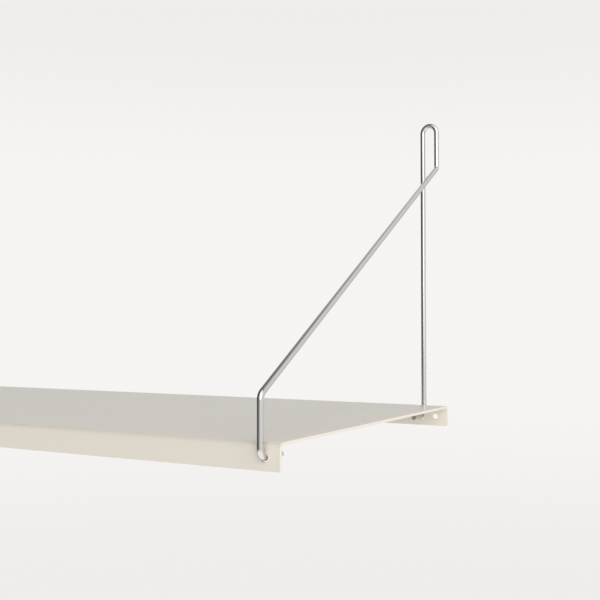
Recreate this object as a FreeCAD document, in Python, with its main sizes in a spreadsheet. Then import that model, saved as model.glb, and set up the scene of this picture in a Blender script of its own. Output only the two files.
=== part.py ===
import FreeCAD, Part
import Sketcher
import math
import os

# Wall shelf: one folded sheet-steel panel, hung at each end on a bracket bent from one length of wire.
#
# Frame, in millimetres: X runs along the shelf with 0 at mid-length, +Y points to the wall with 0 on
# the outer face of the panel's back fold, +Z is up with 0 at the level of the holes. The origin is
# the middle of the line between the two wall-screw holes.

doc = FreeCAD.newDocument("wall_shelf")

# ---------------------------------------------------------------------------------- dimensions
DIMENSIONS = {
    # folded panel
    "panel_length": 600,
    "panel_depth": 270,
    "panel_height": 16.5,
    "sheet_thickness": 2,
    "fold_inner_radius": 1.5,
    # holes in the two folds, all on one level
    "hole_drop": 9,
    "hook_hole_diameter": 5.2,
    "screw_hole_diameter": 4.5,
    "end_inset": 10.5,
    # bracket wire
    "wire_diameter": 4,
    "leg_spacing": 12,
    "standoff": 4,
    "hook_reach": 18.5,
    "bend_radius": 6,
    "neck_radius": 4,
    "stay_foot": 35.5,
    "stay_head": 204.5,
    "loop_top": 240.5,
    "tip_chamfer": 0.5,
}

sheet = doc.addObject("Spreadsheet::Sheet", "dims")
for row, (alias, size) in enumerate(DIMENSIONS.items(), start=1):
    sheet.set(f"A{row}", alias)
    sheet.set(f"B{row}", str(size))
    sheet.setAlias(f"B{row}", alias)
doc.recompute()


# ---------------------------------------------------------------------------- sketching helpers
def new_body(name):
    """A body for one piece; its label is the piece's name."""
    body = doc.addObject("PartDesign::Body", name)
    body.Label = name
    return body


def new_sketch(body, name, plane, offset="0"):
    """A sketch on one of the body's own origin planes, moved along its normal by an expression."""
    sketch = body.newObject("Sketcher::SketchObject", name)
    base = next(feature for feature in body.Origin.OriginFeatures if feature.Role == plane)
    sketch.AttachmentSupport = [(base, "")]
    sketch.MapMode = "FlatFace"
    sketch.setExpression("AttachmentOffset.Base.z", offset)
    return sketch


def value(owner, expression):
    """The number that an expression on the sheet gives now."""
    return float(owner.evalExpression(expression))


def place(sketch, geometry, point, across, up):
    """Fix one point of the sketch at the given expressions, measured from the origin."""
    for kind, distance in (("DistanceX", across), ("DistanceY", up)):
        constraint = Sketcher.Constraint(kind, -1, 1, geometry, point, value(sketch, distance))
        index = sketch.addConstraint(constraint)
        sketch.setExpression(f"Constraints[{index}]", distance)


def set_radius(sketch, geometry, radius):
    """Bind the radius of a circle or arc to an expression."""
    index = sketch.addConstraint(Sketcher.Constraint("Radius", geometry, value(sketch, radius)))
    sketch.setExpression(f"Constraints[{index}]", radius)


def draw_circle(sketch, across, up, radius):
    """A circle whose centre and radius follow expressions."""
    centre = FreeCAD.Vector(value(sketch, across), value(sketch, up), 0)
    circle = sketch.addGeometry(Part.Circle(centre, FreeCAD.Vector(0, 0, 1), value(sketch, radius)))
    set_radius(sketch, circle, radius)
    place(sketch, circle, 3, across, up)


def rounded_corner(before, corner, after, radius):
    """The arc of a bend at a corner, and whether it turns left: (arc, left)."""
    towards_before = (before - corner).normalize()
    towards_after = (after - corner).normalize()
    half_angle = towards_before.getAngle(towards_after) / 2
    bisector = (towards_before + towards_after).normalize()
    centre = corner + bisector * (radius / math.sin(half_angle))
    first = corner + towards_before * (radius / math.tan(half_angle))
    last = corner + towards_after * (radius / math.tan(half_angle))
    left = (corner - before).cross(after - corner).z > 0
    start, end = (first, last) if left else (last, first)
    angles = [math.atan2(point.y - centre.y, point.x - centre.x) for point in (start, end)]
    if angles[1] < angles[0]:
        angles[1] += 2 * math.pi
    circle = Part.Circle(centre, FreeCAD.Vector(0, 0, 1), radius)
    return Part.ArcOfCircle(circle, angles[0], angles[1]), left


def draw_runs(sketch, corners, closed=False):
    """Straight runs from corner to corner; a corner is (across, up, radius or None)."""
    points = [FreeCAD.Vector(value(sketch, across), value(sketch, up), 0) for across, up, _ in corners]
    count = len(corners)
    lines = []
    for index in range(count if closed else count - 1):
        segment = Part.LineSegment(points[index], points[(index + 1) % count])
        lines.append(sketch.addGeometry(segment))
    if not closed:
        place(sketch, lines[0], 1, corners[0][0], corners[0][1])
        place(sketch, lines[-1], 2, corners[-1][0], corners[-1][1])
    for index in range(0 if closed else 1, count if closed else count - 1):
        across, up, radius = corners[index]
        line_in = lines[index - 1]
        line_out = lines[index]
        if radius is None:
            sketch.addConstraint(Sketcher.Constraint("Coincident", line_in, 2, line_out, 1))
            place(sketch, line_in, 2, across, up)
            continue
        after = points[(index + 1) % count]
        bend, left = rounded_corner(points[index - 1], points[index], after, value(sketch, radius))
        arc = sketch.addGeometry(bend)
        arc_in, arc_out = (1, 2) if left else (2, 1)
        sketch.addConstraint(Sketcher.Constraint("Tangent", line_in, 2, arc, arc_in))
        sketch.addConstraint(Sketcher.Constraint("Tangent", arc, arc_out, line_out, 1))
        set_radius(sketch, arc, radius)
        vertex = sketch.addGeometry(Part.Point(points[index]), True)
        sketch.addConstraint(Sketcher.Constraint("PointOnObject", vertex, 1, line_in))
        sketch.addConstraint(Sketcher.Constraint("PointOnObject", vertex, 1, line_out))
        place(sketch, vertex, 1, across, up)


# ---------------------------------------------------------------------------------- shelf panel
def make_panel():
    """Sheet steel folded down along its front and back edges, with round holes near its ends."""
    body = new_body("shelf_panel")

    top = "dims.hole_drop"
    under = "dims.hole_drop - dims.sheet_thickness"
    bottom = "dims.hole_drop - dims.panel_height"
    front = "-dims.panel_depth"
    front_inside = "dims.sheet_thickness - dims.panel_depth"
    back_inside = "-dims.sheet_thickness"
    inner = "dims.fold_inner_radius"
    outer = "dims.fold_inner_radius + dims.sheet_thickness"
    profile = new_sketch(body, "fold_profile", "YZ_Plane")
    draw_runs(profile, [
        ("0", bottom, None),
        ("0", top, outer),
        (front, top, outer),
        (front, bottom, None),
        (front_inside, bottom, None),
        (front_inside, under, inner),
        (back_inside, under, inner),
        (back_inside, bottom, None),
    ], closed=True)
    pad = body.newObject("PartDesign::Pad", "folded_sheet")
    pad.Profile = profile
    pad.SideType = "Symmetric"
    pad.setExpression("Length", "dims.panel_length")
    doc.recompute()

    stay_x = "(dims.panel_length / 2 - dims.end_inset)"
    upright_x = "(dims.panel_length / 2 - dims.end_inset - dims.leg_spacing)"
    hook_radius = "dims.hook_hole_diameter / 2"
    screw_radius = "dims.screw_hole_diameter / 2"

    # Front fold: one hole at each end for the bracket's front hook.
    front_holes = new_sketch(body, "front_holes", "XZ_Plane", "dims.panel_depth")
    # Back fold: at each end a hole for the rear hook and, nearer the end, one for a wall screw.
    back_holes = new_sketch(body, "back_holes", "XZ_Plane")
    for side in ("1", "-1"):
        draw_circle(front_holes, f"{side} * {stay_x}", "0", hook_radius)
        draw_circle(back_holes, f"{side} * {upright_x}", "0", hook_radius)
        draw_circle(back_holes, f"{side} * {stay_x}", "0", screw_radius)

    for sketch, away_from_wall in ((front_holes, False), (back_holes, True)):
        uncut = body.Shape.Volume
        pocket = body.newObject("PartDesign::Pocket", f"cut_{sketch.Label}")
        pocket.Profile = sketch
        pocket.Reversed = away_from_wall
        pocket.setExpression("Length", "2 * dims.sheet_thickness")
        doc.recompute()
        if body.Shape.Volume >= uncut:
            raise RuntimeError(f"{pocket.Label} cuts nothing")
    return body


# ------------------------------------------------------------------------------------- brackets
def add_pipe(body, name, section, path):
    """Run the round wire section along a path sketch."""
    pipe = body.newObject("PartDesign::AdditivePipe", name)
    pipe.Profile = section
    pipe.Spine = (path, [])
    doc.recompute()
    return pipe


def make_bracket(name, side):
    """One bent length of wire; side is 1 at the right end and -1 at the left end."""
    body = new_body(name)

    stay_x = f"{side} * (dims.panel_length / 2 - dims.end_inset)"
    upright_x = f"{side} * (dims.panel_length / 2 - dims.end_inset - dims.leg_spacing)"
    loop_middle = f"{side} * (dims.panel_length / 2 - dims.end_inset - dims.leg_spacing / 2)"
    front_tip = "dims.hook_reach - dims.panel_depth"
    front_leg = "-dims.panel_depth - dims.standoff"
    rear_tip = "-dims.hook_reach"
    rear_leg = "dims.standoff"
    loop_centre = "dims.loop_top - dims.leg_spacing / 2"
    wire_radius = "dims.wire_diameter / 2"

    # Front hook, out through the front fold and up, then the slanting stay and the neck of the loop.
    section = new_sketch(body, "front_section", "XZ_Plane", f"-({front_tip})")
    draw_circle(section, stay_x, "0", wire_radius)
    stay_path = new_sketch(body, "stay_path", "YZ_Plane", stay_x)
    draw_runs(stay_path, [
        (front_tip, "0", None),
        (front_leg, "0", "dims.bend_radius"),
        (front_leg, "dims.stay_foot", "dims.bend_radius"),
        (rear_leg, "dims.stay_head", "dims.neck_radius"),
        (rear_leg, loop_centre, None),
    ])
    add_pipe(body, "front_hook_and_stay", section, stay_path)

    # Half a turn over the top, flat against the wall: the loop hangs on the head of a screw.
    section = new_sketch(body, "loop_section", "XY_Plane", loop_centre)
    draw_circle(section, stay_x, rear_leg, wire_radius)
    loop_path = new_sketch(body, "loop_path", "XZ_Plane", f"-({rear_leg})")
    loop_radius = "dims.leg_spacing / 2"
    centre = FreeCAD.Vector(value(loop_path, loop_middle), value(loop_path, loop_centre), 0)
    circle = Part.Circle(centre, FreeCAD.Vector(0, 0, 1), value(loop_path, loop_radius))
    half_turn = loop_path.addGeometry(Part.ArcOfCircle(circle, 0, math.pi))
    place(loop_path, half_turn, 3, loop_middle, loop_centre)
    set_radius(loop_path, half_turn, loop_radius)
    loop_path.addConstraint(Sketcher.Constraint("Horizontal", half_turn, 1, half_turn, 3))
    loop_path.addConstraint(Sketcher.Constraint("Horizontal", half_turn, 2, half_turn, 3))
    add_pipe(body, "hanging_loop", section, loop_path)

    # Upright behind the panel, then the rear hook, forwards through the back fold.
    section = new_sketch(body, "rear_section", "XZ_Plane", f"-({rear_tip})")
    draw_circle(section, upright_x, "0", wire_radius)
    upright_path = new_sketch(body, "upright_path", "YZ_Plane", upright_x)
    draw_runs(upright_path, [
        (rear_tip, "0", None),
        (rear_leg, "0", "dims.bend_radius"),
        (rear_leg, loop_centre, None),
    ])
    wire = add_pipe(body, "rear_hook_and_upright", section, upright_path)

    # The bent wire keeps its full section: its volume is its length times its section.
    length = sum(path.Shape.Length for path in (stay_path, loop_path, upright_path))
    full_volume = length * math.pi * sheet.wire_diameter ** 2 / 4
    if abs(body.Shape.Volume / full_volume - 1) > 0.001:
        raise RuntimeError(f"{name} lost part of its section in a bend")

    # Cut ends: the rim of each tip is broken with a small chamfer.
    tips = (value(body, front_tip), value(body, rear_tip))
    rims = []
    for number, edge in enumerate(wire.Shape.Edges, start=1):
        at_tip = min(abs(edge.CenterOfMass.y - tip) for tip in tips) < 0.001
        if at_tip and isinstance(edge.Curve, Part.Circle):
            rims.append(f"Edge{number}")
    chamfer = body.newObject("PartDesign::Chamfer", "broken_tips")
    chamfer.Base = (wire, rims)
    chamfer.setExpression("Size", "dims.tip_chamfer")
    doc.recompute()
    return body


pieces = [
    make_panel(),
    make_bracket("bracket_right", "1"),
    make_bracket("bracket_left", "-1"),
]
doc.recompute()

# -------------------------------------------------------------------------------- check and write
for item in doc.Objects:
    if "Invalid" in item.State or "Error" in item.State:
        raise RuntimeError(f"{item.Label} failed: {item.State}")

os.makedirs("parts", exist_ok=True)
for piece in pieces:
    if piece.Shape.isNull() or not piece.Shape.isValid() or len(piece.Shape.Solids) != 1:
        raise RuntimeError(f"{piece.Label} is not one valid solid")
    piece.Shape.exportStep(f"parts/{piece.Label}.step")
    box = piece.Shape.BoundBox
    print(f"{piece.Label}: {box.XLength:.2f} x {box.YLength:.2f} x {box.ZLength:.2f} mm,"
          f" {piece.Shape.Volume:.1f} mm3")
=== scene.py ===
import math

import bpy
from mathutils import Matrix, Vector


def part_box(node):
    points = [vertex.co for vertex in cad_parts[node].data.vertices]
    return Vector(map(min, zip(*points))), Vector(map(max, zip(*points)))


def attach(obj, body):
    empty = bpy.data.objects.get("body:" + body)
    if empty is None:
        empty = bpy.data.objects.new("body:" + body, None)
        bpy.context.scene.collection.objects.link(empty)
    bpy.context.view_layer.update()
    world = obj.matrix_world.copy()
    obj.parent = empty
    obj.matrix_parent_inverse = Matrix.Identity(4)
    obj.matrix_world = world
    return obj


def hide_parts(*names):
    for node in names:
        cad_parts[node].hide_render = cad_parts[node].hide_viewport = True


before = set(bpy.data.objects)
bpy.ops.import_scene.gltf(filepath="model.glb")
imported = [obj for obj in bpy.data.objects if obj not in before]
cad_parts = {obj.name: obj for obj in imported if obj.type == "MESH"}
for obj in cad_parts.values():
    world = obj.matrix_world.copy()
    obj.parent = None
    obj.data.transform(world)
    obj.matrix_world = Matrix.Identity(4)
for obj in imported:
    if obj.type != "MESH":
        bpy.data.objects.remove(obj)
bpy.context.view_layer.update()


# ---------------------------------------------------------------- shelf panel
# One sheet of 2 mm mild steel, folded down along its front and back edges on a press
# brake, with round holes punched near the ends of both folds for the wire hooks and the
# wall screws. After folding it is powder coated in a warm off-white, folds and rims too.

MM = 0.001
SHEET = 2 * MM
FOLD_INNER = 1.5 * MM
FOLD_STEPS = 12
HOOK_HOLE = 5.2 * MM
SCREW_HOLE = 4.5 * MM
END_INSET = 10.5 * MM
LEG_SPACING = 12 * MM
HOLE_STEPS = 48
PUNCH_DEPTH = 4 * SHEET
COAT_ROUNDING = 0.35 * MM
SHARPEST_COATED = math.radians(35)
ROUNDING_STEPS = 3
SEAM = 0.001 * MM

COAT_COLOUR = "#DED7CB"
COAT_SHADE = "#DBD4C8"
COAT_ROUGHNESS = 0.28
COAT_IOR = 1.5
COAT_GLOSS_CHANGE = 0.04
COAT_CLOUD = 1000 * MM / 9
ORANGE_PEEL = 1.6 * MM
PEEL_HEIGHT = 0.02 * MM
PEEL_STRENGTH = 0.12
COAT_GRAIN = 0.35 * MM
GRAIN_HEIGHT = 0.01 * MM
GRAIN_STRENGTH = 0.15


def linear(colour):
    """An sRGB hex colour as linear RGBA."""
    levels = [int(colour[i:i + 2], 16) / 255 for i in (1, 3, 5)]
    return [c / 12.92 if c <= 0.04045 else ((c + 0.055) / 1.055) ** 2.4 for c in levels] + [1.0]


def add_node(tree, kind, settings=None, **inputs):
    """A node with its settings; each input takes a socket to link or a value. _ is a space."""
    node = tree.nodes.new(kind)
    for name, setting in (settings or {}).items():
        setattr(node, name, setting)
    for name, given in inputs.items():
        socket = node.inputs[int(name[1:])] if name[1:].isdigit() else node.inputs[name.replace("_", " ")]
        if isinstance(given, bpy.types.NodeSocket):
            tree.links.new(given, socket)
        else:
            socket.default_value = given
    return node


def new_material(name):
    """An empty node material and its tree."""
    material = bpy.data.materials.new(name)
    material.use_nodes = True
    material.node_tree.nodes.clear()
    return material, material.node_tree


def powder_coat():
    """Satin polyester powder coat: level, with a faint orange peel and a finer grain in the gloss."""
    material, tree = new_material("powder_coat_warm_white_satin")
    place = add_node(tree, "ShaderNodeTexCoord").outputs["Object"]
    peel = add_node(tree, "ShaderNodeTexNoise", Vector=place, Scale=1 / ORANGE_PEEL, Detail=1.0)
    grain = add_node(tree, "ShaderNodeTexNoise", Vector=place, Scale=1 / COAT_GRAIN, Detail=2.0)
    cloud = add_node(tree, "ShaderNodeTexNoise", Vector=place, Scale=1 / COAT_CLOUD, Detail=3.0)
    colour = add_node(tree, "ShaderNodeMix", {"data_type": "RGBA"}, Factor=cloud.outputs["Fac"],
                      _6=linear(COAT_SHADE), _7=linear(COAT_COLOUR))
    gloss = add_node(tree, "ShaderNodeMapRange", Value=grain.outputs["Fac"],
                     To_Min=COAT_ROUGHNESS - COAT_GLOSS_CHANGE, To_Max=COAT_ROUGHNESS + COAT_GLOSS_CHANGE)
    waves = add_node(tree, "ShaderNodeBump", Height=peel.outputs["Fac"], Strength=PEEL_STRENGTH,
                     Distance=PEEL_HEIGHT)
    fine = add_node(tree, "ShaderNodeBump", Height=grain.outputs["Fac"], Strength=GRAIN_STRENGTH,
                    Distance=GRAIN_HEIGHT, Normal=waves.outputs["Normal"])
    shader = add_node(tree, "ShaderNodeBsdfPrincipled", Base_Color=colour.outputs[2],
                      Roughness=gloss.outputs["Result"], IOR=COAT_IOR, Normal=fine.outputs["Normal"])
    add_node(tree, "ShaderNodeOutputMaterial", Surface=shader.outputs["BSDF"])
    return material


def new_tree(name, sizes):
    """A geometry tree with a Geometry input and output and one named input for each size."""
    tree = bpy.data.node_groups.new(name, "GeometryNodeTree")
    tree.interface.new_socket("Geometry", in_out="INPUT", socket_type="NodeSocketGeometry")
    for size, kind in sizes.items():
        tree.interface.new_socket(size, in_out="INPUT", socket_type=kind)
    tree.interface.new_socket("Geometry", in_out="OUTPUT", socket_type="NodeSocketGeometry")
    return tree, tree.nodes.new("NodeGroupInput").outputs


def corner_line(name, corners, closed):
    """A line of straight runs, as a mesh of edges; each corner is (point, bend radius)."""
    count = len(corners)
    edges = [(i, (i + 1) % count) for i in range(count if closed else count - 1)]
    mesh = bpy.data.meshes.new(name)
    mesh.from_pydata([point for point, _ in corners], edges, [])
    bend = mesh.attributes.new("bend_radius", "FLOAT", "POINT")
    bend.data.foreach_set("value", [radius for _, radius in corners])
    piece = bpy.data.objects.new(name, mesh)
    bpy.context.scene.collection.objects.link(piece)
    return piece


def run_tree(piece, tree, values):
    """Put the tree on the piece and set its named inputs."""
    modifier = piece.modifiers.new(tree.name, "NODES")
    modifier.node_group = tree
    for item in tree.interface.items_tree:
        if item.in_out == "INPUT" and item.name in values:
            modifier[item.identifier] = values[item.name]


def finish_mesh(piece, rounding, sharpest):
    """Round the edges sharper than an angle, keep the flats flat, and turn it all into a plain mesh."""
    bevel = piece.modifiers.new("rounded_edges", "BEVEL")
    bevel.width = rounding
    bevel.segments = ROUNDING_STEPS
    bevel.limit_method = "ANGLE"
    bevel.angle_limit = sharpest
    bevel.miter_outer = "MITER_ARC"
    normals = piece.modifiers.new("flat_faces", "WEIGHTED_NORMAL")
    normals.keep_sharp = True
    bpy.context.view_layer.update()
    evaluated = piece.evaluated_get(bpy.context.evaluated_depsgraph_get())
    mesh = bpy.data.meshes.new_from_object(evaluated)
    mesh.name = piece.name
    piece.modifiers.clear()
    piece.data = mesh
    return piece


def folded_sheet_tree():
    """Fills the fold outline, draws it out to the sheet's length, and punches the holes."""
    tree, size = new_tree("folded_sheet", {
        "Length": "NodeSocketFloat",
        "Fold Steps": "NodeSocketInt",
        "Holes": "NodeSocketObject",
        "Punch Depth": "NodeSocketFloat",
        "Hole Steps": "NodeSocketInt",
        "Material": "NodeSocketMaterial",
    })
    outline = add_node(tree, "GeometryNodeMeshToCurve", Mesh=size["Geometry"])
    radius = add_node(tree, "GeometryNodeInputNamedAttribute", {"data_type": "FLOAT"}, Name="bend_radius")
    rounded = add_node(tree, "GeometryNodeFilletCurve", {"mode": "POLY"}, Curve=outline.outputs["Curve"],
                       Count=size["Fold Steps"], Radius=radius.outputs["Attribute"])
    section = add_node(tree, "GeometryNodeFillCurve", {"mode": "NGONS"}, Curve=rounded.outputs["Curve"])
    along = add_node(tree, "ShaderNodeCombineXYZ", Z=size["Length"])
    drawn = add_node(tree, "GeometryNodeExtrudeMesh", {"mode": "FACES"}, Mesh=section.outputs["Mesh"],
                     Offset=along.outputs["Vector"], Individual=False)
    end = add_node(tree, "GeometryNodeFlipFaces", Mesh=section.outputs["Mesh"])
    both = add_node(tree, "GeometryNodeJoinGeometry")
    tree.links.new(drawn.outputs["Mesh"], both.inputs["Geometry"])
    tree.links.new(end.outputs["Mesh"], both.inputs["Geometry"])
    closed = add_node(tree, "GeometryNodeMergeByDistance", Geometry=both.outputs["Geometry"],
                      Distance=SEAM)
    half = add_node(tree, "ShaderNodeMath", {"operation": "MULTIPLY"}, _0=size["Length"], _1=-0.5)
    start = add_node(tree, "ShaderNodeCombineXYZ", X=half.outputs["Value"])
    turned = add_node(tree, "GeometryNodeTransform", Geometry=closed.outputs["Geometry"],
                      Translation=start.outputs["Vector"], Rotation=(math.pi / 2, 0, math.pi / 2))

    marks = add_node(tree, "GeometryNodeObjectInfo", {"transform_space": "RELATIVE"},
                     Object=size["Holes"])
    hole_radius = add_node(tree, "GeometryNodeInputNamedAttribute", {"data_type": "FLOAT"},
                           Name="hole_radius")
    punch = add_node(tree, "GeometryNodeMeshCylinder", Vertices=size["Hole Steps"], Radius=1.0,
                     Depth=size["Punch Depth"])
    wide = add_node(tree, "ShaderNodeCombineXYZ", X=hole_radius.outputs["Attribute"],
                    Y=hole_radius.outputs["Attribute"], Z=1.0)
    punches = add_node(tree, "GeometryNodeInstanceOnPoints", Points=marks.outputs["Geometry"],
                       Instance=punch.outputs["Mesh"], Rotation=(math.pi / 2, 0, 0),
                       Scale=wide.outputs["Vector"])
    solid_punches = add_node(tree, "GeometryNodeRealizeInstances", Geometry=punches.outputs["Instances"])
    punched = add_node(tree, "GeometryNodeMeshBoolean", {"operation": "DIFFERENCE", "solver": "EXACT"})
    tree.links.new(turned.outputs["Geometry"], punched.inputs["Mesh 1"])
    tree.links.new(solid_punches.outputs["Geometry"], punched.inputs["Mesh 2"])
    smooth = add_node(tree, "GeometryNodeSetShadeSmooth", Geometry=punched.outputs["Mesh"], Shade_Smooth=True)
    real = add_node(tree, "GeometryNodeRealizeInstances", Geometry=smooth.outputs["Geometry"])
    coated = add_node(tree, "GeometryNodeSetMaterial", Geometry=real.outputs["Geometry"],
                      Material=size["Material"])
    add_node(tree, "NodeGroupOutput", Geometry=coated.outputs["Geometry"])
    return tree


low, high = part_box("shelf_panel")
fold_outer = FOLD_INNER + SHEET
panel = corner_line("shelf_panel_coated", [
    ((high.y, low.z, 0), 0),
    ((high.y, high.z, 0), fold_outer),
    ((low.y, high.z, 0), fold_outer),
    ((low.y, low.z, 0), 0),
    ((low.y + SHEET, low.z, 0), 0),
    ((low.y + SHEET, high.z - SHEET, 0), FOLD_INNER),
    ((high.y - SHEET, high.z - SHEET, 0), FOLD_INNER),
    ((high.y - SHEET, low.z, 0), 0),
], closed=True)

stay_x = high.x - END_INSET
upright_x = stay_x - LEG_SPACING
holes = []
for side in (1, -1):
    holes.append(((side * stay_x, low.y, 0), HOOK_HOLE))
    holes.append(((side * upright_x, high.y, 0), HOOK_HOLE))
    holes.append(((side * stay_x, high.y, 0), SCREW_HOLE))
hole_marks = bpy.data.meshes.new("hole_marks")
hole_marks.from_pydata([point for point, _ in holes], [], [])
hole_marks.attributes.new("hole_radius", "FLOAT", "POINT").data.foreach_set(
    "value", [diameter / 2 for _, diameter in holes])
marker = bpy.data.objects.new("hole_marks", hole_marks)

run_tree(panel, folded_sheet_tree(), {
    "Length": high.x - low.x,
    "Fold Steps": FOLD_STEPS,
    "Holes": marker,
    "Punch Depth": PUNCH_DEPTH,
    "Hole Steps": HOLE_STEPS,
    "Material": powder_coat(),
})
finish_mesh(panel, COAT_ROUNDING, SHARPEST_COATED)
bpy.data.objects.remove(marker)
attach(panel, "root")
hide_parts("shelf_panel")


# ---------------------------------------------------------------- wire brackets
# Each bracket is one length of 4 mm stainless steel wire, bent cold round pins. From the
# front hook it rises, slants back to the wall, turns over in a narrow hanging loop, comes
# down behind the panel and ends in the rear hook. The left one is the right one's mirror.

WIRE = 4 * MM
WIRE_BEND = 6 * MM
NECK_BEND = 4 * MM
HOOK_REACH = 18.5 * MM
STAY_FOOT = 35.5 * MM
STAY_HEAD = 204.5 * MM
TIP_ROUNDING = 0.5 * MM
SHARPEST_WIRE = math.radians(60)
BEND_STEPS = 20
WIRE_SIDES = 40

STEEL_COLOUR = "#D2D0CC"
STEEL_DULL = "#CECCC8"
STEEL_ROUGHNESS = 0.18
STEEL_GLOSS_CHANGE = 0.03
DRAW_LINE_WIDTH = 0.25 * MM
DRAW_LINE_LENGTH = 30 * MM


def drawn_wire():
    """Bright drawn stainless steel: a clean mirror round the wire, with faint lines along it."""
    material, tree = new_material("stainless_wire_bright_drawn")
    unbent = add_node(tree, "ShaderNodeAttribute", {"attribute_name": "unbent_wire"})
    stretch = (1 / DRAW_LINE_WIDTH, 1 / DRAW_LINE_WIDTH, 1 / DRAW_LINE_LENGTH)
    along = add_node(tree, "ShaderNodeMapping", Vector=unbent.outputs["Vector"], Scale=stretch)
    lines = add_node(tree, "ShaderNodeTexNoise", Vector=along.outputs["Vector"], Scale=1.0, Detail=3.0)
    colour = add_node(tree, "ShaderNodeMix", {"data_type": "RGBA"}, Factor=lines.outputs["Fac"],
                      _6=linear(STEEL_DULL), _7=linear(STEEL_COLOUR))
    gloss = add_node(tree, "ShaderNodeMapRange", Value=lines.outputs["Fac"],
                     To_Min=STEEL_ROUGHNESS - STEEL_GLOSS_CHANGE,
                     To_Max=STEEL_ROUGHNESS + STEEL_GLOSS_CHANGE)
    shader = add_node(tree, "ShaderNodeBsdfPrincipled", Base_Color=colour.outputs[2], Metallic=1.0,
                      Roughness=gloss.outputs["Result"])
    add_node(tree, "ShaderNodeOutputMaterial", Surface=shader.outputs["BSDF"])
    return material


def bent_wire_tree():
    """Rounds the corners of a line and runs a round section along it, closed at both tips."""
    tree, size = new_tree("bent_wire", {
        "Wire Radius": "NodeSocketFloat",
        "Bend Steps": "NodeSocketInt",
        "Wire Sides": "NodeSocketInt",
        "Material": "NodeSocketMaterial",
    })
    line = add_node(tree, "GeometryNodeMeshToCurve", Mesh=size["Geometry"])
    radius = add_node(tree, "GeometryNodeInputNamedAttribute", {"data_type": "FLOAT"}, Name="bend_radius")
    bent = add_node(tree, "GeometryNodeFilletCurve", {"mode": "POLY"}, Curve=line.outputs["Curve"],
                    Count=size["Bend Steps"], Radius=radius.outputs["Attribute"])
    travelled = add_node(tree, "GeometryNodeSplineParameter")
    measured = add_node(tree, "GeometryNodeStoreNamedAttribute", {"data_type": "FLOAT", "domain": "POINT"},
                        Geometry=bent.outputs["Curve"], Name="along", Value=travelled.outputs["Length"])
    ring = add_node(tree, "GeometryNodeCurvePrimitiveCircle", {"mode": "RADIUS"},
                    Resolution=size["Wire Sides"], Radius=size["Wire Radius"])
    place = add_node(tree, "GeometryNodeInputPosition")
    section = add_node(tree, "GeometryNodeStoreNamedAttribute",
                       {"data_type": "FLOAT_VECTOR", "domain": "POINT"},
                       Geometry=ring.outputs["Curve"], Name="section", Value=place.outputs["Position"])
    wire = add_node(tree, "GeometryNodeCurveToMesh", Curve=measured.outputs["Geometry"],
                    Profile_Curve=section.outputs["Geometry"], Fill_Caps=True)
    across = add_node(tree, "GeometryNodeInputNamedAttribute", {"data_type": "FLOAT_VECTOR"}, Name="section")
    along = add_node(tree, "GeometryNodeInputNamedAttribute", {"data_type": "FLOAT"}, Name="along")
    upright = add_node(tree, "ShaderNodeCombineXYZ", Z=along.outputs["Attribute"])
    unbent = add_node(tree, "ShaderNodeVectorMath", {"operation": "ADD"}, _0=across.outputs["Attribute"],
                      _1=upright.outputs["Vector"])
    marked = add_node(tree, "GeometryNodeStoreNamedAttribute",
                      {"data_type": "FLOAT_VECTOR", "domain": "POINT"},
                      Geometry=wire.outputs["Mesh"], Name="unbent_wire", Value=unbent.outputs["Vector"])
    merged = add_node(tree, "GeometryNodeMergeByDistance", Geometry=marked.outputs["Geometry"],
                      Distance=SEAM)
    smooth = add_node(tree, "GeometryNodeSetShadeSmooth", Geometry=merged.outputs["Geometry"],
                      Shade_Smooth=True)
    real = add_node(tree, "GeometryNodeRealizeInstances", Geometry=smooth.outputs["Geometry"])
    finished = add_node(tree, "GeometryNodeSetMaterial", Geometry=real.outputs["Geometry"],
                        Material=size["Material"])
    add_node(tree, "NodeGroupOutput", Geometry=finished.outputs["Geometry"])
    return tree


bracket_low, bracket_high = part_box("bracket_right")
front_leg = bracket_low.y + WIRE / 2
rear_leg = bracket_high.y - WIRE / 2
hook_level = bracket_low.z + WIRE / 2
loop_top = bracket_high.z - WIRE / 2
front_tip = low.y + HOOK_REACH
rear_tip = high.y - HOOK_REACH

wire_tree = bent_wire_tree()
wire_steel = drawn_wire()
for node, side in (("bracket_right", 1), ("bracket_left", -1)):
    outer = side * (bracket_high.x - WIRE / 2)
    inner = side * (bracket_low.x + WIRE / 2)
    bracket = corner_line(f"{node}_wire", [
        ((outer, front_tip, hook_level), 0),
        ((outer, front_leg, hook_level), WIRE_BEND),
        ((outer, front_leg, STAY_FOOT), WIRE_BEND),
        ((outer, rear_leg, STAY_HEAD), NECK_BEND),
        ((outer, rear_leg, loop_top), WIRE_BEND),
        ((inner, rear_leg, loop_top), WIRE_BEND),
        ((inner, rear_leg, hook_level), WIRE_BEND),
        ((inner, rear_tip, hook_level), 0),
    ], closed=False)
    run_tree(bracket, wire_tree, {
        "Wire Radius": WIRE / 2,
        "Bend Steps": BEND_STEPS,
        "Wire Sides": WIRE_SIDES,
        "Material": wire_steel,
    })
    finish_mesh(bracket, TIP_ROUNDING, SHARPEST_WIRE)
    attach(bracket, "root")
    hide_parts(node)


# ---------------------------------------------------------------- studio light
# A tall strip light and a softbox to the front right draw the bright line down each wire. The
# room is bright at the right, back and floor, and dark at the left and ceiling, which edges the
# wires. What the camera sees behind it all is pale paper, brighter near the shelf's height.

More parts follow.
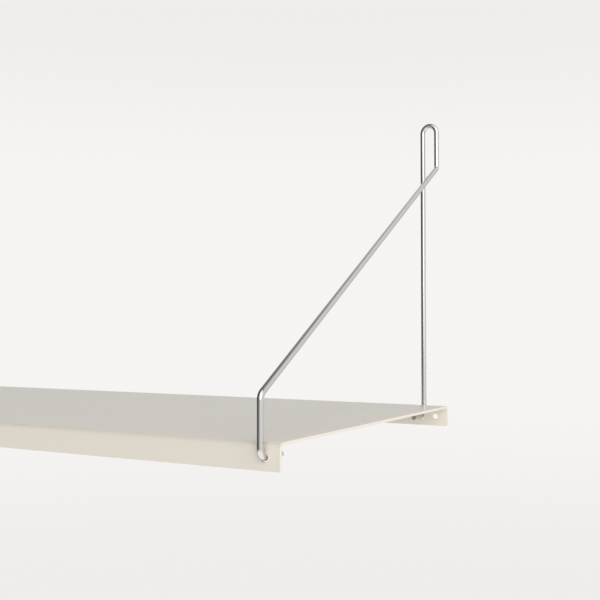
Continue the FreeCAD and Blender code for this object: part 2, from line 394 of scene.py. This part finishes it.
BACKDROP_COLOUR = "#F4F2F0"
BACKDROP_GLOW = 1.022
BACKDROP_EDGE = 0.955
BACKDROP_MIDDLE = 0.04
BACKDROP_FADE = (0.1, 0.3)
STRIP_TARGET_Y = -0.13
STRIP_AZIMUTH = 35
STRIP_DISTANCE = 3.0
STRIP_WIDTH = 1.1
STRIP_BOTTOM = 0.03
STRIP_TOP = 3.2
STRIP_POWER = 24
LEFT_LEVEL = 0.08
RIGHT_LEVEL = 0.95
LEFT_TO_RIGHT = (-0.9, 0.9)
BACK_LOW = 0.58
BACK_HIGH = 0.9
BACK_EDGE = (0.3, 0.65)
BACK_RISE = (0.1, 0.4)
FLOOR_GLOW = 1.28
FLOOR_EDGE = (-0.2, -0.6)
CEILING_DARK = 0.15
CEILING_BRIGHT = 0.95
CEILING_EDGE = (0.45, 0.7)
CEILING_TOWARDS = (0.3, 1.0, 0.0)
CEILING_RISE = (0.17, 0.58)
SOFTBOX_AZIMUTH = 38
SOFTBOX_UP = 42
SOFTBOX_LEVEL = 1.31
SOFTBOX_EDGE = (0.7, 0.92)

strip = bpy.data.lights.new("strip_light", "AREA")
strip.shape = "RECTANGLE"
strip.size = STRIP_WIDTH
strip.size_y = STRIP_TOP - STRIP_BOTTOM
strip.energy = STRIP_POWER
strip_object = bpy.data.objects.new("strip_light", strip)
bpy.context.scene.collection.objects.link(strip_object)
azimuth = math.radians(STRIP_AZIMUTH)
target = Vector((stay_x, STRIP_TARGET_Y, 0))
strip_object.location = target + Vector((
    STRIP_DISTANCE * math.sin(azimuth),
    -STRIP_DISTANCE * math.cos(azimuth),
    (STRIP_TOP + STRIP_BOTTOM) / 2,
))
strip_object.rotation_euler = (math.pi / 2, 0, azimuth)

world = bpy.data.worlds.new("studio")
bpy.context.scene.world = world
world.use_nodes = True
tree = world.node_tree
tree.nodes.clear()
direction = add_node(tree, "ShaderNodeTexCoord").outputs["Generated"]
axes = add_node(tree, "ShaderNodeSeparateXYZ", Vector=direction)


def ramp(tree, value, edge, low=0.0, high=1.0):
    """A smooth change from low to high while the value crosses the edge, which is (start, end)."""
    return add_node(tree, "ShaderNodeMapRange", {"interpolation_type": "SMOOTHSTEP"}, Value=value,
                    From_Min=edge[0], From_Max=edge[1], To_Min=low, To_Max=high).outputs["Result"]


def mixed(tree, factor, first, second):
    """From the first level to the second as the factor goes from 0 to 1."""
    return add_node(tree, "ShaderNodeMix", Factor=factor, A=first, B=second).outputs["Result"]


sides = ramp(tree, axes.outputs["X"], LEFT_TO_RIGHT, LEFT_LEVEL, RIGHT_LEVEL)
back = add_node(tree, "ShaderNodeMath", {"operation": "MULTIPLY"},
                _0=ramp(tree, axes.outputs["Y"], BACK_EDGE),
                _1=ramp(tree, axes.outputs["Z"], BACK_RISE, BACK_LOW, BACK_HIGH)).outputs["Value"]
walls = add_node(tree, "ShaderNodeMath", {"operation": "MAXIMUM"}, _0=sides, _1=back).outputs["Value"]
with_floor = mixed(tree, ramp(tree, axes.outputs["Z"], FLOOR_EDGE), walls, FLOOR_GLOW)
to_back_right = add_node(tree, "ShaderNodeVectorMath", {"operation": "DOT_PRODUCT"}, _0=direction,
                         _1=CEILING_TOWARDS)
ceiling = add_node(tree, "ShaderNodeMapRange", Value=to_back_right.outputs["Value"],
                   From_Min=CEILING_RISE[0], From_Max=CEILING_RISE[1],
                   To_Min=CEILING_DARK, To_Max=CEILING_BRIGHT).outputs["Result"]
with_ceiling = mixed(tree, ramp(tree, axes.outputs["Z"], CEILING_EDGE), with_floor, ceiling)
softbox_azimuth = math.radians(SOFTBOX_AZIMUTH)
softbox_up = math.radians(SOFTBOX_UP)
to_softbox = add_node(tree, "ShaderNodeVectorMath", {"operation": "DOT_PRODUCT"}, _0=direction, _1=(
    math.sin(softbox_azimuth) * math.cos(softbox_up),
    -math.cos(softbox_azimuth) * math.cos(softbox_up),
    math.sin(softbox_up),
))
softbox = ramp(tree, to_softbox.outputs["Value"], SOFTBOX_EDGE, 0.0, SOFTBOX_LEVEL)
level = add_node(tree, "ShaderNodeMath", {"operation": "ADD"}, _0=with_ceiling, _1=softbox)
room = add_node(tree, "ShaderNodeBackground", Color=(1, 1, 1, 1), Strength=level.outputs["Value"])
above_middle = add_node(tree, "ShaderNodeMath", {"operation": "SUBTRACT"}, _0=axes.outputs["Z"],
                        _1=BACKDROP_MIDDLE)
away = add_node(tree, "ShaderNodeMath", {"operation": "ABSOLUTE"}, _0=above_middle.outputs["Value"])
pale = add_node(tree, "ShaderNodeBackground", Color=linear(BACKDROP_COLOUR),
                Strength=ramp(tree, away.outputs["Value"], BACKDROP_FADE, BACKDROP_GLOW, BACKDROP_EDGE))
seen = add_node(tree, "ShaderNodeLightPath")
either = add_node(tree, "ShaderNodeMixShader", _0=seen.outputs["Is Camera Ray"],
                  _1=room.outputs["Background"], _2=pale.outputs["Background"])
add_node(tree, "ShaderNodeOutputWorld", Surface=either.outputs["Shader"])


# ---------------------------------------------------------------- floor
# A plain pale floor, a little over a metre below the shelf. It fades out into the backdrop,
# and only the camera sees it, because the room above already holds the light that it throws.

FLOOR_LEVEL = -1.2
FLOOR_RADIUS = 3.0
FLOOR_FADE_START = 1.2
FLOOR_COLOUR = "#E6E4E2"
FLOOR_LIFT = 0.2
FLOOR_SIDES = 96


def pale_floor():
    """Matt floor paint, which turns clear towards the rim."""
    material, tree = new_material("floor_paint_pale_matt")
    place = add_node(tree, "ShaderNodeTexCoord").outputs["Object"]
    from_middle = add_node(tree, "ShaderNodeVectorMath", {"operation": "LENGTH"}, _0=place)
    paint = add_node(tree, "ShaderNodeBsdfDiffuse", Color=linear(FLOOR_COLOUR))
    lift = add_node(tree, "ShaderNodeEmission", Color=linear(FLOOR_COLOUR), Strength=FLOOR_LIFT)
    lifted = add_node(tree, "ShaderNodeAddShader", _0=paint.outputs["BSDF"], _1=lift.outputs["Emission"])
    clear = add_node(tree, "ShaderNodeBsdfTransparent")
    faded = add_node(tree, "ShaderNodeMixShader",
                     _0=ramp(tree, from_middle.outputs["Value"], (FLOOR_FADE_START, FLOOR_RADIUS)),
                     _1=lifted.outputs["Shader"], _2=clear.outputs["BSDF"])
    add_node(tree, "ShaderNodeOutputMaterial", Surface=faded.outputs["Shader"])
    return material


angles = [2 * math.pi * i / FLOOR_SIDES for i in range(FLOOR_SIDES)]
rim = [(FLOOR_RADIUS * math.cos(angle), FLOOR_RADIUS * math.sin(angle), 0) for angle in angles]
floor_mesh = bpy.data.meshes.new("floor")
floor_mesh.from_pydata(rim, [], [range(FLOOR_SIDES)])
floor_mesh.materials.append(pale_floor())
floor = bpy.data.objects.new("floor", floor_mesh)
bpy.context.scene.collection.objects.link(floor)
floor.location.z = FLOOR_LEVEL
floor.visible_diffuse = False
floor.visible_glossy = False
floor.visible_shadow = False


# ---------------------------------------------------------------- camera
# It stands a little above the shelf, in front of it and past its right end, and looks back
# along the shelf, nearly level.

CAMERA_PLACE = (551.0 * MM, -698.3 * MM, 72.2 * MM)
CAMERA_LEFT_OF_WALL = 29.12
CAMERA_UP = 1.79
CAMERA_LENS = 53.84
CAMERA_SENSOR = 36
CAMERA_NEAR = 0.01

lens = bpy.data.cameras.new("camera")
lens.lens = CAMERA_LENS
lens.sensor_width = CAMERA_SENSOR
lens.clip_start = CAMERA_NEAR
camera = bpy.data.objects.new("camera", lens)
bpy.context.scene.collection.objects.link(camera)
camera.location = CAMERA_PLACE
camera.rotation_euler = (math.radians(90 + CAMERA_UP), 0, math.radians(CAMERA_LEFT_OF_WALL))
bpy.context.scene.camera = camera
bpy.context.scene.view_settings.view_transform = "Standard"
